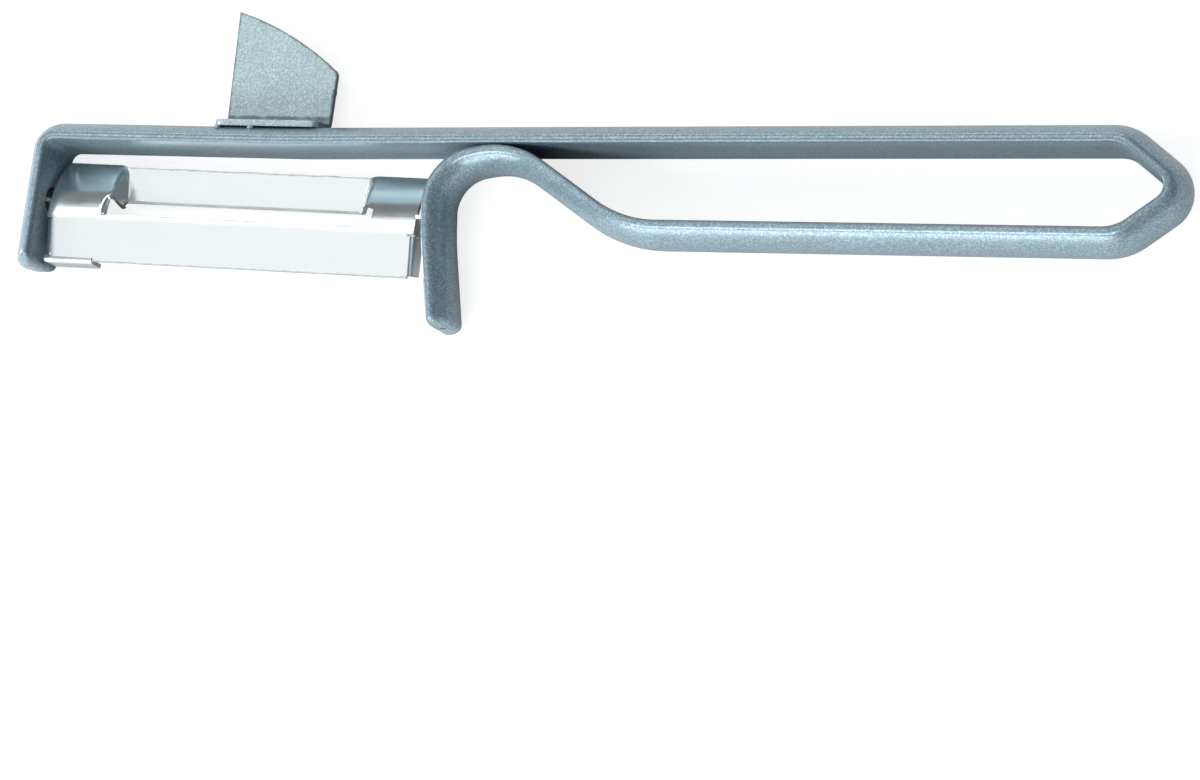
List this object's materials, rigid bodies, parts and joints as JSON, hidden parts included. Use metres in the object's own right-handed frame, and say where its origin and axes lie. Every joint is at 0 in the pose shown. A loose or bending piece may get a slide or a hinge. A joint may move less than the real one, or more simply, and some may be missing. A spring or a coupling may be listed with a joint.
{
  "type": "vegetable peeler",
  "caption": "Swivel vegetable peeler: a half-round metal strip bent into a looped handle with a finger hook, a swinging slotted blade and a sheet eye remover.",
  "frame": {"origin": "middle of the peeler's length and height on its flat lying side, which is z = 0", "axes": "+X along the handle towards the pointed loop, +Y from the blade up to the eye remover's tip, +Z out of the lying side towards the viewer"},
  "size_m": [0.1724, 0.0478, 0.01],
  "materials": {
    "silver_coat": "silver-grey metallic coat with a fine fleck, semi-gloss",
    "coated_sheet": "the same silver-grey coat over sheet, satin",
    "weld": "small weld beads under the coat",
    "stainless_sheet": "bright pressed stainless sheet"
  },
  "bodies": {
    "handle": {"handle_strip": "silver_coat", "eye_remover": "coated_sheet", "tack_welds": "weld", "hump_weld": "weld"},
    "blade": {"blade": "stainless_sheet"}
  },
  "joints": [
    {"name": "blade_swivel", "type": "hinge", "parent": "handle", "child": "blade", "pos_m": [-0.08245, -0.00519, 0.005], "axis": [0.9993, -0.0375, 0], "range_deg": [-142, 130]}
  ]
}
